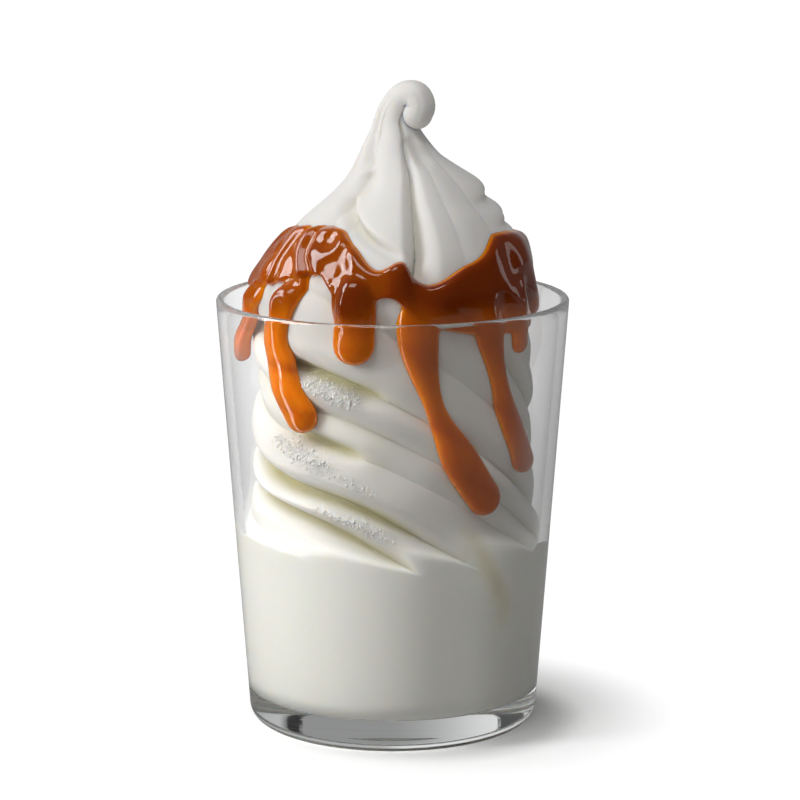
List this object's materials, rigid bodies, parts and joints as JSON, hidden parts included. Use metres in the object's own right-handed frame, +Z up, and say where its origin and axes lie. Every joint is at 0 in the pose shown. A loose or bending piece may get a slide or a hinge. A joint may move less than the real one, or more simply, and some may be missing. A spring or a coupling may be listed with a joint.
{
  "type": "ice cream sundae",
  "caption": "Soft-serve ice cream twisted to a curled peak in a clear tapered tumbler, with caramel sauce round its shoulder and running down inside the glass.",
  "frame": {"origin": "centre of the tumbler's foot, on the surface it stands on", "axes": "+Z up along the tumbler's axis, -Y towards the side the long sauce runs are on, +X to that side's right"},
  "size_m": [0.0818, 0.0818, 0.1505],
  "materials": {
    "clear_glass": "clear, polished",
    "soft_serve": "smooth, soft sheen",
    "caramel": "wet, glossy"
  },
  "bodies": {
    "root": {"glass_tumbler": "clear_glass", "ice_cream": "soft_serve", "caramel_sauce": "caramel"}
  },
  "joints": []
}
